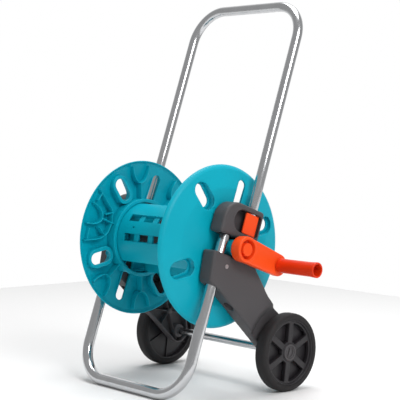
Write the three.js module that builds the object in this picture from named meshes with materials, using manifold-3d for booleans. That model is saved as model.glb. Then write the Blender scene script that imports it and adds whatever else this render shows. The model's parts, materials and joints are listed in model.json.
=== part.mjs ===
// Garden hose reel cart: a drum with a crank, hung between two plastic side brackets on a
// bent steel frame, with a telescopic handle and two wheels.
//
// Units are millimetres. The part's frame has +X towards the crank, +Y towards the wheels,
// +Z up, and its origin on the ground under the middle of the bounding box.
// Side views are drawn in a plane whose x is rearward and y is upward; its z is the cart's +X.
import * as THREE from "three";
import { mergeVertices } from "three/addons/utils/BufferGeometryUtils.js";
import Module from "manifold-3d";

const wasm = await Module();
wasm.setup();

const { cos, sin, sqrt, atan2, acos, PI } = Math;
const radians = THREE.MathUtils.degToRad;
const point = (x, y) => new THREE.Vector2(x, y);
const polar = (radius, degrees) => point(radius * cos(radians(degrees)), radius * sin(radians(degrees)));

// ---- Driving dimensions ----------------------------------------------------------------

const gap = 0.3; // between pieces that touch on the real cart
const leanAngle = 18.3; // frame and handle tubes from the vertical
const bendRadius = 70; // centreline of every tube bend

// The leaning frame has its origin on the drum axis: x is rearward, y runs up along the tubes.
const frameTube = { radius: 11, wall: 1.2, x: -29, halfSpan: 152, top: 29, bar: -302 };
const handleTube = { radius: 10, wall: 1, x: 30, halfSpan: 150, bottom: -60, bar: 517 };
const axleTube = { radius: 8, wall: 1.2, halfLength: 185.5 };

// A disc is flat out to the radius `flat`, then falls to its shoulder and its rim.
const disc = {
  radius: 159,
  rimX: 114.8,
  shoulder: 151,
  shoulderX: 123,
  flat: 112,
  faceX: 131,
  ribX: 112,
  skin: 3.2,
};
const journal = { radius: 16.5, end: 169, bore: 11 };
const core = { radius: 72, wall: 2.5, halfAngle: 60, middle: 158, end: 111.7, lip: 20 };
const flange = { radius: 80.4, from: 105 }; // the collar on each disc that the core sits in

const bracket = { inner: 135, outer: 167, wall: 3.5, coverWall: 2 };
const wheel = { radius: 78, width: 29, outer: 192, y: 256.4, tyre: 13 };
const crank = { back: 172, face: 195, length: 97, angle: -21, hub: 24.5, tip: 21.5 };
const grip = { radius: 15, bore: 11.5, end: 290 };

// The drum axis, worked out from the tube positions and the lean.
const lean = radians(leanAngle);
const drumY = -frameTube.bar * sin(lean) - frameTube.x * cos(lean);
const drumZ = frameTube.radius - frameTube.bar * cos(lean) + frameTube.x * sin(lean);

// Moves the middle of the frame so that the origin is under the middle of the bounding box.
const originX = (grip.end - wheel.outer) / 2;
const originY = (drumY - disc.radius + wheel.y + wheel.radius) / 2;

// The wheel axle in the leaning frame.
const axle = point(wheel.y - drumY, wheel.radius - drumZ).rotateAround(point(0, 0), lean);

// ---- Solids ----------------------------------------------------------------------------

// Turns a closed geometry into a solid that can be joined and cut.
function solid(geometry) {
  const bare = geometry.clone();
  bare.deleteAttribute("normal");
  bare.deleteAttribute("uv");
  const merged = mergeVertices(bare, 1e-4);
  const corners = merged.index.array;
  const faces = [];
  for (let i = 0; i < corners.length; i += 3) {
    const [a, b, c] = corners.slice(i, i + 3);
    if (a !== b && b !== c && c !== a) faces.push(a, b, c);
  }
  return new wasm.Manifold(
    new wasm.Mesh({
      numProp: 3,
      vertProperties: merged.attributes.position.array,
      triVerts: new Uint32Array(faces),
    }),
  );
}

// Turns a solid back into a geometry with flat faces.
function geometryOf(body) {
  const mesh = body.getMesh();
  const geometry = new THREE.BufferGeometry();
  geometry.setAttribute("position", new THREE.BufferAttribute(mesh.vertProperties, 3));
  geometry.setIndex(new THREE.BufferAttribute(mesh.triVerts, 1));
  const flat = geometry.toNonIndexed();
  flat.computeVertexNormals();
  return flat;
}

const join = (bodies) => bodies.reduce((sum, body) => sum.add(body));
const cut = (body, tools) => tools.reduce((rest, tool) => rest.subtract(tool), body);

// A flat outline pushed along the cart's X, from one side position to another.
function plate(shape, from, to, curveSegments = 5) {
  const options = { depth: to - from, bevelEnabled: false, curveSegments };
  return solid(new THREE.ExtrudeGeometry(shape, options).translate(0, 0, from));
}

// A body turned about the cart's X: its profile is a closed loop of [radius, x] corners.
function turned(profile, segments = 24, centre = point(0, 0)) {
  const loop = [...profile, profile[0]].map(([radius, x]) => point(radius, x));
  if (THREE.ShapeUtils.isClockWise(loop)) loop.reverse();
  const geometry = new THREE.LatheGeometry(loop, segments);
  return solid(geometry.rotateX(PI / 2).translate(centre.x, centre.y, 0));
}

const rod = (radius, from, to, centre, segments = 16) =>
  turned([[0, from], [radius, from], [radius, to], [0, to]], segments, centre);

const ring = (inner, outer, from, to, centre, segments = 18) =>
  turned([[inner, from], [outer, from], [outer, to], [inner, to]], segments, centre);

// A round bar that runs up the side plane, at x and at the side position z.
function upright(radius, bottom, top, x, z, segments = 16) {
  const geometry = new THREE.CylinderGeometry(radius, radius, top - bottom, segments);
  return solid(geometry.translate(x, (top + bottom) / 2, z));
}

// A straight bar of rectangular outline between two points of the side plane.
function bar(from, to, width, sideFrom, sideTo) {
  const along = to.clone().sub(from).normalize();
  const across = point(-along.y, along.x).multiplyScalar(width / 2);
  const corners = [
    from.clone().sub(across),
    to.clone().sub(across),
    to.clone().add(across),
    from.clone().add(across),
  ];
  return plate(new THREE.Shape(corners), sideFrom, sideTo);
}

// An outline with round ends, `width` across, between two points.
function stadium(from, to, width) {
  const shape = new THREE.Shape();
  const heading = atan2(to.y - from.y, to.x - from.x);
  shape.absarc(to.x, to.y, width / 2, heading - PI / 2, heading + PI / 2);
  shape.absarc(from.x, from.y, width / 2, heading + PI / 2, heading + (3 * PI) / 2);
  return shape;
}

// The outline around two circles and their common tangents.
function tapered(a, radiusA, b, radiusB) {
  const heading = atan2(b.y - a.y, b.x - a.x);
  const spread = acos((radiusA - radiusB) / a.distanceTo(b));
  const shape = new THREE.Shape();
  shape.absarc(b.x, b.y, radiusB, heading - spread, heading + spread);
  shape.absarc(a.x, a.y, radiusA, heading + spread, heading - spread + 2 * PI);
  return shape;
}

// Moves each corner of a closed outline inwards by the same distance.
function inset(corners, distance) {
  const count = corners.length;
  return corners.map((corner, i) => {
    const before = corners[(i + count - 1) % count];
    const after = corners[(i + 1) % count];
    const arriving = corner.clone().sub(before).normalize();
    const leaving = after.clone().sub(corner).normalize();
    const inward = point(-arriving.y - leaving.y, arriving.x + leaving.x).normalize();
    const sharpness = -arriving.y * inward.x + arriving.x * inward.y;
    return corner.clone().addScaledVector(inward, distance / Math.max(sharpness, 0.5));
  });
}

// A path given by stations, each with a point and a direction, so that straight runs need
// no steps between the bends.
class StationPath extends THREE.Curve {
  constructor(stations) {
    super();
    this.stations = stations;
  }

  station(t) {
    return this.stations[Math.round(t * (this.stations.length - 1))];
  }

  getPoint(t, target = new THREE.Vector3()) {
    return target.copy(this.station(t).position);
  }

  getPointAt(t, target) {
    return this.getPoint(t, target);
  }

  getTangentAt(t, target = new THREE.Vector3()) {
    return target.copy(this.station(t).direction);
  }
}

// A tube bent into a U: two uprights at +-halfSpan joined by a crossbar at the height `bar`.
function hoop({ radius, wall, x, halfSpan, bar: barHeight }, endHeight, sides = 7, bendSteps = 6) {
  const rise = Math.sign(barHeight - endHeight);
  const bendCentre = barHeight - rise * bendRadius;
  const stations = [];
  const add = (y, z, dy, dz) =>
    stations.push({
      position: new THREE.Vector3(x, y, z),
      direction: new THREE.Vector3(0, dy, dz),
    });
  add(endHeight, -halfSpan, rise, 0);
  for (let step = 0; step <= bendSteps; step++) {
    const turn = (PI / 2) * (step / bendSteps);
    const y = bendCentre + rise * bendRadius * sin(turn);
    add(y, -halfSpan + bendRadius * (1 - cos(turn)), rise * cos(turn), sin(turn));
  }
  for (let step = 0; step <= bendSteps; step++) {
    const turn = (PI / 2) * (step / bendSteps);
    const y = bendCentre + rise * bendRadius * cos(turn);
    add(y, halfSpan - bendRadius * (1 - sin(turn)), -rise * sin(turn), cos(turn));
  }
  add(endHeight, halfSpan, -rise, 0);

  const section = new THREE.Shape().absarc(0, 0, radius, 0, 2 * PI);
  section.holes.push(new THREE.Path().absarc(0, 0, radius - wall, 0, 2 * PI));
  const options = {
    steps: stations.length - 1,
    curveSegments: sides,
    extrudePath: new StationPath(stations),
  };
  return solid(new THREE.ExtrudeGeometry(section, options));
}

// ---- Finishes --------------------------------------------------------------------------

const finish = (color, roughness, metalness = 0) => () =>
  new THREE.MeshStandardMaterial({ color, roughness, metalness });

const finishes = {
  steel: finish(0xb9bcbe, 0.28, 1),
  teal: finish(0x00a9c0, 0.45),
  grey: finish(0x555355, 0.6),
  darkGrey: finish(0x3a3a3c, 0.6),
  orange: finish(0xf5552a, 0.45),
  tyre: finish(0x2b2a2b, 0.85),
  rubber: finish(0x161616, 0.8),
  screw: finish(0x9a9da0, 0.35, 1),
};

function place(parent, name, body, material) {
  const mesh = new THREE.Mesh(geometryOf(body), finishes[material]());
  mesh.name = name;
  parent.add(mesh);
}

// ---- Side brackets ---------------------------------------------------------------------

const hubSlot = { top: 19, bottom: -18, saddle: 17.2, shoulder: 70 };
const bushSeat = { inner: 20, outer: 26, depth: 5.6 };
const channel = { radius: 10.5, wall: 3.5 };
const socket = { radius: 11.3 };
const wheelClearance = { radius: 82, x: 154.5 };
const starBoss = { centre: point(153, -124), radius: 6, hole: 2.2, ribs: 6, rib: 2.4, reach: 70 };
const bracketScrew = { centre: point(-15.5, -40), shank: 2, head: 4.2, headDepth: 3 };
const window = { left: -27, right: 45, bottom: 31.5, top: 75, floor: 147 };

// The bracket seen from the side: an upper block, a slot that the drum's journal sits in, a
// lower block, and a leg that runs down and back to the wheel axle.
function bracketOutline() {
  const shoulder = polar(hubSlot.saddle, hubSlot.shoulder);
  const bossRadius = 25;
  const bossFrom = radians(-113);
  const bossTo = radians(40);
  const shape = new THREE.Shape();
  shape.absarc(44, 79, 6, 0, PI / 2);
  shape.absarc(-18, 49, 36, PI / 2, PI);
  shape.absarc(-49, hubSlot.top + 5, 5, PI, 1.5 * PI);
  shape.lineTo(shoulder.x, hubSlot.top);
  const saddleEnd = radians(hubSlot.shoulder);
  shape.absarc(0, 0, hubSlot.saddle, saddleEnd, -saddleEnd, true);
  shape.lineTo(shoulder.x, hubSlot.bottom);
  shape.absarc(-51, hubSlot.bottom - 5, 5, PI / 2, PI);
  shape.absarc(-37, -70, 12, PI, 1.5 * PI);
  shape.lineTo(-20, -86);
  shape.absarc(axle.x, axle.y, bossRadius, bossFrom, bossTo);
  shape.splineThru([point(204, -124), point(186, -98), point(170, -86), point(152, -80), point(118, -64)]);
  shape.splineThru([point(100, -50), point(68, -26), point(52, -4)]);
  shape.lineTo(50, 8);
  return shape;
}

// The open hollow on the inner side of the leg, with its star of ribs left standing.
function legPocket() {
  const corners = bracketOutline().getPoints(4);
  const inner = new THREE.Shape(inset(corners, bracket.wall));
  const edge = handleTube.x + channel.radius + channel.wall;
  const area = new THREE.Shape([point(edge, 30), point(edge, -200), point(260, -200), point(260, 30)]);
  const from = bracket.inner - 1;
  const deep = bracket.outer - bracket.wall;
  const shallow = wheelClearance.x - bracket.wall;
  const region = plate(inner, from, deep).intersect(plate(area, from, deep));
  const aroundWheel = rod(wheelClearance.radius + bracket.wall, shallow, deep + 1, axle, 28);
  const ribs = [];
  for (let i = 0; i < starBoss.ribs; i++) {
    const end = polar(starBoss.reach, 8 + (360 / starBoss.ribs) * i).add(starBoss.centre);
    ribs.push(bar(starBoss.centre, end, starBoss.rib, bracket.inner + 3, deep + 1));
  }
  return cut(region, [
    aroundWheel,
    ...ribs,
    rod(starBoss.radius, bracket.inner, deep + 1, starBoss.centre, 12),
    rod(axleTube.radius + 6, from, deep + 1, axle, 20),
  ]);
}

function windowOutline({ left, right, bottom, top }) {
  const radius = (top - bottom) / 2;
  const shape = new THREE.Shape();
  shape.moveTo(right, bottom);
  shape.lineTo(right, top);
  shape.absarc(left + radius, bottom + radius, radius, PI / 2, 1.5 * PI);
  return shape;
}

function bracketBody() {
  const outline = bracketOutline();
  const seat = ring(bushSeat.inner, bushSeat.outer, bracket.inner, bracket.inner + bushSeat.depth);
  const betweenTubes = new THREE.Shape([point(-7, -26), point(-7, -82), point(14, -82), point(14, -26)]);
  const body = join([plate(outline, bracket.inner, bracket.outer, 4), seat]);
  return cut(body, [
    rod(wheelClearance.radius, wheelClearance.x, bracket.outer + 1, axle, 28),
    legPocket(),
    plate(betweenTubes, bracket.inner - 1, bracket.outer - bracket.wall),
    upright(channel.radius, -150, 90, handleTube.x, handleTube.halfSpan, 20),
    upright(socket.radius, -120, frameTube.top + gap, frameTube.x, frameTube.halfSpan, 20),
    plate(windowOutline(window), window.floor, bracket.outer + 1, 8),
    upright(hingePin.radius + gap, hingePin.bottom - gap, 90, hingePin.x, hingePin.z, 8),
    rod(bushSeat.inner, bracket.inner - 1, bracket.inner + bushSeat.depth + 0.2, undefined, 24),
    rod(axleTube.radius + gap, bracket.inner - 1, bracket.outer, axle, 24),
    rod(starBoss.hole, bracket.inner - 1, bracket.inner + 16, starBoss.centre, 8),
    rod(bracketScrew.shank + gap, bracket.inner - 1, bracket.outer + 1, bracketScrew.centre, 10),
    rod(bracketScrew.head + gap, bracket.outer - 3.5, bracket.outer + 1, bracketScrew.centre, 12),
  ]);
}

// A thin lid that closes the inner side of the two blocks, outside the journal's path.
function bracketCover() {
  const outline = new THREE.Shape();
  outline.moveTo(44, -78);
  outline.lineTo(44, 74);
  outline.absarc(40, 74, 4, 0, PI / 2);
  outline.absarc(-18, 46, 32, PI / 2, PI);
  outline.lineTo(-50, hubSlot.top + 3);
  outline.absarc(0, 0, bushSeat.outer + 1, radians(120), radians(-120), true);
  outline.lineTo(-51, hubSlot.bottom - 8);
  outline.lineTo(-46, -66);
  outline.lineTo(-36, -78);
  const to = bracket.inner - gap;
  return cut(plate(outline, to - bracket.coverWall, to, 6), [
    rod(bracketScrew.shank + gap, 120, 140, bracketScrew.centre, 10),
  ]);
}

function addBracket(side, parent) {
  const { centre, head, headDepth, shank } = bracketScrew;
  const screwTop = bracket.outer - 0.5;
  const seatedHead = screwTop - headDepth;
  place(parent, side + "_bracket", bracketBody(), "grey");
  place(parent, side + "_bracket_cover", bracketCover(), "darkGrey");
  const screw = cut(
    join([rod(head, seatedHead, screwTop, centre, 12), rod(shank, 134, seatedHead + 1, centre, 10)]),
    [plate(new THREE.Shape(squareAt(centre, 1.1)), screwTop - 1.6, screwTop + 1)],
  );
  place(parent, side + "_bracket_screw", screw, "screw");
  const bushEnd = bracket.inner + bushSeat.depth - gap;
  const bush = ring(journal.radius + gap, bushSeat.inner - gap, bracket.inner, bushEnd, undefined, 24);
  place(parent, side + "_drum_bush", bush, "rubber");
}

function squareAt(centre, half) {
  const { x, y } = centre;
  return [
    point(x - half, y - half),
    point(x + half, y - half),
    point(x + half, y + half),
    point(x - half, y + half),
  ];
}

// ---- Handle locks ----------------------------------------------------------------------

const hingePin = { radius: 1.3, bottom: 28, top: 80, x: 41, z: 157.5 };
const lever = { bottom: 32.4, top: 73, face: 164.5, front: 3.5, back: 34 };

// The lever's section across the tubes: a plate over the handle tube and a knuckle round the
// hinge pin. Drawn with x rearward and y outward.
function leverSection() {
  const knuckle = 3;
  const inside = handleTube.halfSpan + handleTube.radius + 0.6;
  const section = new THREE.Shape();
  section.moveTo(lever.front, inside);
  section.lineTo(hingePin.x - knuckle, inside);
  section.absarc(hingePin.x, hingePin.z, knuckle, PI, radians(60));
  section.lineTo(lever.back, lever.face);
  section.lineTo(lever.front, lever.face);
  section.holes.push(new THREE.Path().absarc(hingePin.x, hingePin.z, hingePin.radius + gap, 0, 2 * PI));
  return section;
}

function addLock(side, parent) {
  const options = { depth: lever.top - lever.bottom, bevelEnabled: false, curveSegments: 6 };
  const section = new THREE.ExtrudeGeometry(leverSection(), options);
  // The section's y becomes the cart's outward direction, and its depth runs down the tubes.
  const body = solid(section.rotateX(PI / 2).translate(0, lever.top, 0));
  place(parent, side + "_lock_lever", body, "orange");
  const { radius, bottom, top, x, z } = hingePin;
  place(parent, side + "_lock_pin", upright(radius, bottom, top, x, z, 8), "screw");
}

// ---- Handle ----------------------------------------------------------------------------

function addHandle(parent) {
  place(parent, "handle_tube", hoop(handleTube, handleTube.bottom), "steel");
}

function addHandlePlug(side, parent) {
  const { bottom, radius, wall, x, halfSpan } = handleTube;
  const inside = radius - wall - gap;
  const body = join([
    upright(inside, bottom - 1, bottom + 16, x, halfSpan, 16),
    upright(radius - 0.2, bottom - 3.5, bottom - gap, x, halfSpan, 16),
  ]);
  place(parent, side + "_handle_plug", body, "rubber");
}

// ---- Drum ------------------------------------------------------------------------------

// The slots of a disc. Two lean towards the core's shells and one stands between them; the
// pattern repeats after half a turn. A wide slot is a tub in the outer face with a narrower
// hole through its floor. Slot walls start at the side position `wallFrom`.
const slots = [
  { heading: 124.5, offset: -12.5, inner: 88, outer: 137, hole: 24, tub: 34, spread: 4, wallFrom: 112 },
  { heading: 191.5, offset: 14.5, inner: 88, outer: 137, hole: 24, tub: 34, spread: 4, wallFrom: 112 },
  { heading: 248.5, offset: 0, inner: 50, outer: 137, hole: 20, tub: 20, spread: 0, wallFrom: 123 },
];
const tubWall = 2.5;
const tubFloor = 117;

// The outline of a slot after a turn about the drum's axis: `width` across, and longer than
// the slot by `extra` at each end.
function slotOutline({ heading, offset, inner, outer }, turn, width, extra = 0) {
  const along = polar(1, heading + turn);
  const aside = point(-along.y, along.x).multiplyScalar(offset);
  const reach = (radius) => sqrt(radius * radius - offset * offset);
  const from = along.clone().multiplyScalar(reach(inner) - extra + width / 2).add(aside);
  const to = along.clone().multiplyScalar(reach(outer) + extra - width / 2).add(aside);
  return stadium(from, to, width);
}

// A rib bent into a U whose round end points at the hub and whose mouth is at the rim.
function scallop(degrees) {
  const mouth = polar(153, degrees);
  const turn = radians(degrees);
  const outer = new THREE.Shape().absellipse(mouth.x, mouth.y, 41, 23, 0, 2 * PI, false, turn);
  outer.holes.push(new THREE.Path().absellipse(mouth.x, mouth.y, 38.8, 20.8, 0, 2 * PI, true, turn));
  return plate(outer, disc.ribX, disc.faceX, 6);
}

// The ribs, webs and slot walls on the inner side of a disc, up to the skin.
function discRibs() {
  const { ribX, faceX, flat, shoulder, shoulderX } = disc;
  const ribs = [];
  for (const degrees of [92, 158, 222.5, 272, 338, 42.5]) {
    ribs.push(scallop(degrees));
    ribs.push(bar(polar(flange.radius - 1, degrees), polar(113, degrees), 2.2, ribX, faceX));
  }
  for (const turn of [0, 180]) {
    for (const slot of slots) {
      const outline = slotOutline(slot, turn, slot.tub + 2 * tubWall, slot.spread + tubWall);
      ribs.push(plate(outline, slot.wallFrom, faceX, 4));
    }
  }
  ribs.push(ring(flange.radius - 2.4, flange.radius, ribX, faceX, undefined, 36));
  ribs.push(ring(core.radius - core.wall - 2, core.radius, ribX, faceX, undefined, 28));
  const space = turned(
    [
      [45, ribX],
      [shoulder - 2, ribX],
      [shoulder - 2, shoulderX - 0.8],
      [flat, faceX - 1.2],
      [45, faceX - 1.2],
    ],
    32,
  );
  return join(ribs).intersect(space);
}

function discBody(bore) {
  const { radius, rimX, faceX, shoulder, shoulderX, flat, ribX, skin } = disc;
  const hub = 24;
  const shell = turned(
    [
      [bore, ribX + 8],
      [hub, ribX + 8],
      [hub, faceX - skin],
      [flat - 1, faceX - skin],
      [shoulder - 1.5, shoulderX - skin],
      [radius - 2.8, rimX],
      [radius, rimX],
      [radius - 2, rimX + 4.7],
      [shoulder, shoulderX],
      [flat, faceX],
      [journal.radius, faceX],
      [journal.radius, journal.end],
      [bore, journal.end],
    ],
    36,
  );
  const collar = ring(core.radius + 1, flange.radius, flange.from, ribX + 1, undefined, 36);
  const tools = [0, 180].flatMap((turn) =>
    slots.flatMap((slot) => [
      plate(slotOutline(slot, turn, slot.tub, slot.spread), tubFloor, 140, 4),
      plate(slotOutline(slot, turn, slot.hole), 100, 140, 4),
    ]),
  );
  return cut(join([shell, discRibs(), collar]), tools);
}

// Windows of a core shell: the rows are angles from its middle and the columns are along X.
const windowGrid = { rows: [-17, 17], columns: [-71, -29.5, 12, 53.5], length: 27, height: 16 };

// One of the two curved halves that the hose lies on, with its windows and its side walls.
function coreShell(middle) {
  const half = core.halfAngle;
  const inner = core.radius - core.wall;
  const arc = new THREE.Shape();
  arc.absarc(0, 0, core.radius, radians(middle - half), radians(middle + half));
  arc.absarc(0, 0, inner, radians(middle + half), radians(middle - half), true);
  const walls = [-1, 1].map((edge) => {
    const angle = middle + edge * (half - 1);
    const inside = polar(core.radius - core.lip, angle);
    return bar(polar(core.radius - 1, angle), inside, 2.4, -core.end, core.end);
  });
  const windows = [];
  const { rows, columns, length, height } = windowGrid;
  for (const row of rows) {
    for (const column of columns) {
      const from = polar(core.radius - 12, middle + row);
      const to = polar(core.radius + 12, middle + row);
      windows.push(bar(from, to, height, column - length / 2, column + length / 2));
    }
  }
  return cut(join([plate(arc, -core.end, core.end, 12), ...walls]), windows);
}

const pipe = { radius: 9.2, bore: 7.4, from: -166, to: -70, outlet: 60 };
const outletAngle = 68;

// The water way inside the drum: along the axis, then out through the gap between the shells.
function waterPipe() {
  const { radius, bore, from, to, outlet } = pipe;
  const branch = (size, start) => {
    const geometry = new THREE.CylinderGeometry(size, size, outlet - start, 14);
    geometry.translate(0, (outlet + start) / 2, to - radius);
    return solid(geometry.rotateZ(radians(outletAngle - 90)));
  };
  return cut(join([rod(radius, from, to, undefined, 16), branch(radius, 0)]), [
    rod(bore, from - 1, to - 3, undefined, 16),
    branch(5, 0),
  ]);
}

// ---- Crank -----------------------------------------------------------------------------

const crankTip = polar(crank.length, crank.angle);
const capRecess = { radius: 19, depth: 14 };
const gripPin = { radius: 9, end: 262, bore: 6 };

function crankArm() {
  const { back, face, hub, tip } = crank;
  const hubCentre = point(0, 0);
  const body = join([
    plate(tapered(hubCentre, hub, crankTip, tip), back + 4, face, 8),
    rod(hub, back, face, hubCentre, 24),
    rod(journal.bore - gap, 140, back + 1, hubCentre, 20),
    ring(gripPin.bore, gripPin.radius, face - 2, gripPin.end, crankTip, 20),
  ]);
  return cut(body, [
    rod(capRecess.radius, face - capRecess.depth, face + 1, hubCentre, 20),
    rod(5.5, face - 25, face, hubCentre, 12),
    rod(2.3, 138, face, hubCentre, 10),
  ]);
}

function addCrank(parent) {
  const seat = crank.face - capRecess.depth;
  place(parent, "crank_arm", crankArm(), "orange");
  place(parent, "crank_cap", rod(12.5, seat + gap, crank.face - 0.6, undefined, 24), "orange");
  const screwFrom = crank.face - 25 + gap;
  const screw = join([
    rod(4.6, screwFrom, screwFrom + 3, undefined, 10),
    rod(2, 141, screwFrom + 1, undefined, 8),
  ]);
  place(parent, "crank_screw", screw, "screw");
  const seal = ring(journal.radius + 0.8, 20, bracket.outer + 0.5, crank.back - gap, undefined, 24);
  place(parent, "crank_seal_ring", seal, "rubber");
}

function crankGrip() {
  const { radius, bore, end } = grip;
  const start = crank.face + 0.5;
  return turned(
    [
      [gripPin.radius + 0.4, start],
      [radius - 0.5, start],
      [radius - 1, start + 8],
      [radius - 1, end - 20],
      [radius, end],
      [bore, end],
      [bore, start + 5],
      [gripPin.radius + 0.4, start + 5],
    ],
    20,
    crankTip,
  );
}

function gripRetainer() {
  const start = gripPin.end - 14;
  return join([
    rod(gripPin.bore - gap, start, gripPin.end + 1, crankTip, 12),
    rod(10.6, gripPin.end + gap, gripPin.end + 2.5, crankTip, 20),
  ]);
}

// ---- Water inlet on the left ------------------------------------------------------------

const inlet = { radius: 10, x: -180.5, spigot: 6.2, bore: 5, drop: -30, end: -58 };

function inletElbow() {
  const { radius, x, spigot, bore, drop } = inlet;
  return cut(
    join([
      rod(spigot, -150, x),
      rod(radius, x, -170),
      upright(radius, drop, 10, 0, x),
    ]),
    [rod(bore, x, -149, undefined, 12), upright(bore, drop - 1, 5, 0, x, 12)],
  );
}

// The plug-on nipple at the elbow's lower end.
function inletNipple() {
  const { x, bore, drop, end } = inlet;
  const top = drop - gap;
  const profile = [[bore, top], [9.6, top], [9.6, top - 6], [7.8, top - 6], [7.8, top - 14]];
  profile.push([6.6, top - 14], [6.6, top - 18], [7.8, top - 18], [7.8, end], [bore, end]);
  const geometry = new THREE.LatheGeometry(
    [...profile, profile[0]].map(([r, y]) => point(r, y)).reverse(),
    16,
  );
  return solid(geometry.translate(0, 0, x));
}

function addInlet(parent) {
  place(parent, "inlet_elbow", inletElbow(), "darkGrey");
  place(parent, "inlet_nipple", inletNipple(), "orange");
  const seal = ring(inlet.spigot + gap, pipe.bore - gap, -162, -160, undefined, 16);
  place(parent, "inlet_seal_ring", seal, "rubber");
}

// ---- Wheels ----------------------------------------------------------------------------

function addWheel(side, parent) {
  const { radius, width, outer, tyre } = wheel;
  const inner = outer - width;
  const rim = radius - tyre;
  const tread = turned(
    [
      [rim + gap, inner],
      [radius - 5, inner],
      [radius - 1, inner + 5],
      [radius, inner + 10],
      [radius, outer - 10],
      [radius - 1, outer - 5],
      [radius - 5, outer],
      [rim + gap, outer],
    ],
    36,
    axle,
  );
  place(parent, side + "_tyre", tread, "tyre");

  const hub = 17;
  const web = [outer - 20, outer - 17];
  const centre = [
    ring(axleTube.radius + 0.4, hub, inner + gap, outer - 9, axle, 20),
    ring(hub - 1, rim - 3, web[0], web[1], axle, 20),
    ring(rim - 4, rim, inner + 1, outer - 2, axle, 24),
  ];
  for (let spoke = 0; spoke < 6; spoke++) {
    const direction = polar(1, 24 + 60 * spoke + leanAngle);
    const from = direction.clone().multiplyScalar(hub - 2).add(axle);
    const to = direction.clone().multiplyScalar(rim - 2).add(axle);
    centre.push(bar(from, to, 11, web[1] - 1, outer - 9));
    centre.push(bar(from, to, 3, inner + 6, web[0] + 1));
  }
  place(parent, side + "_wheel_centre", join(centre), "darkGrey");

  const capFace = outer - 3;
  const capProfile = [[0, capFace - 2], [14.6, capFace - 2], [14.6, outer - 8.7], [17, outer - 8.7]];
  capProfile.push([17, capFace], [0, capFace]);
  const cap = turned(capProfile, 28, axle);
  place(parent, side + "_wheel_cap", cap, "grey");
}

function addAxleFittings(side, parent) {
  const inner = wheel.outer - wheel.width;
  const washer = ring(axleTube.radius + gap, 16, wheelClearance.x + gap, inner, axle, 24);
  place(parent, side + "_wheel_washer", washer, "rubber");
  const clip = ring(axleTube.radius + gap, 13.5, wheel.outer - 8.7, wheel.outer - 7.2, axle, 20);
  place(parent, side + "_axle_clip", clip, "screw");
}

// ---- Assembly --------------------------------------------------------------------------

const cart = new THREE.Group();
// The side plane's x, y and z are the cart's Y, Z and X.
cart.quaternion.setFromRotationMatrix(
  new THREE.Matrix4().makeBasis(
    new THREE.Vector3(0, 1, 0),
    new THREE.Vector3(0, 0, 1),
    new THREE.Vector3(1, 0, 0),
  ),
);
cart.position.set(-originX, -originY, 0);

const leaning = new THREE.Group();
leaning.position.set(drumY, drumZ, 0);
leaning.rotation.z = -lean;
cart.add(leaning);

const drum = new THREE.Group();
drum.position.copy(leaning.position);
cart.add(drum);

place(leaning, "lower_frame_tube", hoop(frameTube, frameTube.top), "steel");
const { radius: axleRadius, wall: axleWall, halfLength } = axleTube;
const axleBody = ring(axleRadius - axleWall, axleRadius, -halfLength, halfLength, axle);
place(leaning, "axle_tube", axleBody, "steel");
addHandle(leaning);

for (const side of ["right", "left"]) {
  const half = new THREE.Group();
  half.scale.z = side === "right" ? 1 : -1;
  leaning.add(half);
  addBracket(side, half);
  addLock(side, half);
  addHandlePlug(side, half);
  addWheel(side, half);
  addAxleFittings(side, half);

  const drumHalf = new THREE.Group();
  drumHalf.scale.z = half.scale.z;
  drum.add(drumHalf);
  place(drumHalf, side + "_disc", discBody(side === "right" ? journal.bore : pipe.radius + gap), "teal");
}

place(drum, "front_core_shell", coreShell(core.middle), "teal");
place(drum, "rear_core_shell", coreShell(core.middle + 180), "teal");
place(drum, "water_pipe", waterPipe(), "grey");
addCrank(drum);
place(drum, "grip_retainer", gripRetainer(), "orange");
place(drum, "crank_grip", crankGrip(), "orange");
addInlet(drum);

const part = new THREE.Group();
part.add(cart);

export default part;
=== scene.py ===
"""Looks for the garden hose reel cart: detailed pieces, materials, light and camera.

Lengths inside the mesh code are millimetres and are scaled to metres when an object is made.
A local point is (x, a, b): x runs towards the crank from the middle plane, a rearward and b up.
"""

import json
import math

import bmesh
import bpy
import numpy as np
from mathutils import Matrix, Vector
from mathutils.geometry import delaunay_2d_cdt, tessellate_polygon


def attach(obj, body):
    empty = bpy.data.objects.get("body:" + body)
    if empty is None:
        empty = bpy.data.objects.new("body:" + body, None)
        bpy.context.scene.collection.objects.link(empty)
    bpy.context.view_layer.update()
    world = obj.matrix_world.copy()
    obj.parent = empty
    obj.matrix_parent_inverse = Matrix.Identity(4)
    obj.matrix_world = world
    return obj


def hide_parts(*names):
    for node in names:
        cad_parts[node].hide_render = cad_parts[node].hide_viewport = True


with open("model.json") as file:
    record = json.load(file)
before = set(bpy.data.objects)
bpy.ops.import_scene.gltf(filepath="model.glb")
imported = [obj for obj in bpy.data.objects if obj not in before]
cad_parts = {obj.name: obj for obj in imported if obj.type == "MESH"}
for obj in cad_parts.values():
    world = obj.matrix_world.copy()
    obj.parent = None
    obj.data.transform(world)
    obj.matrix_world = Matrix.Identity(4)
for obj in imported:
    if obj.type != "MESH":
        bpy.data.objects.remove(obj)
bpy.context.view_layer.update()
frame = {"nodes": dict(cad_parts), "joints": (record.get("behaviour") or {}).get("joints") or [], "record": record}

MM = 0.001
PI = math.pi

joints = {joint["name"]: joint for joint in frame["joints"]}
DRUM = Vector(joints["drum_spin"]["pos_m"])
WHEEL = Vector(joints["right_wheel_spin"]["pos_m"])
GRIP = Vector(joints["grip_spin"]["pos_m"])
UP = Vector(joints["handle_slide"]["axis"])
BACK = Vector((0, UP.z, -UP.y))


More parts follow.
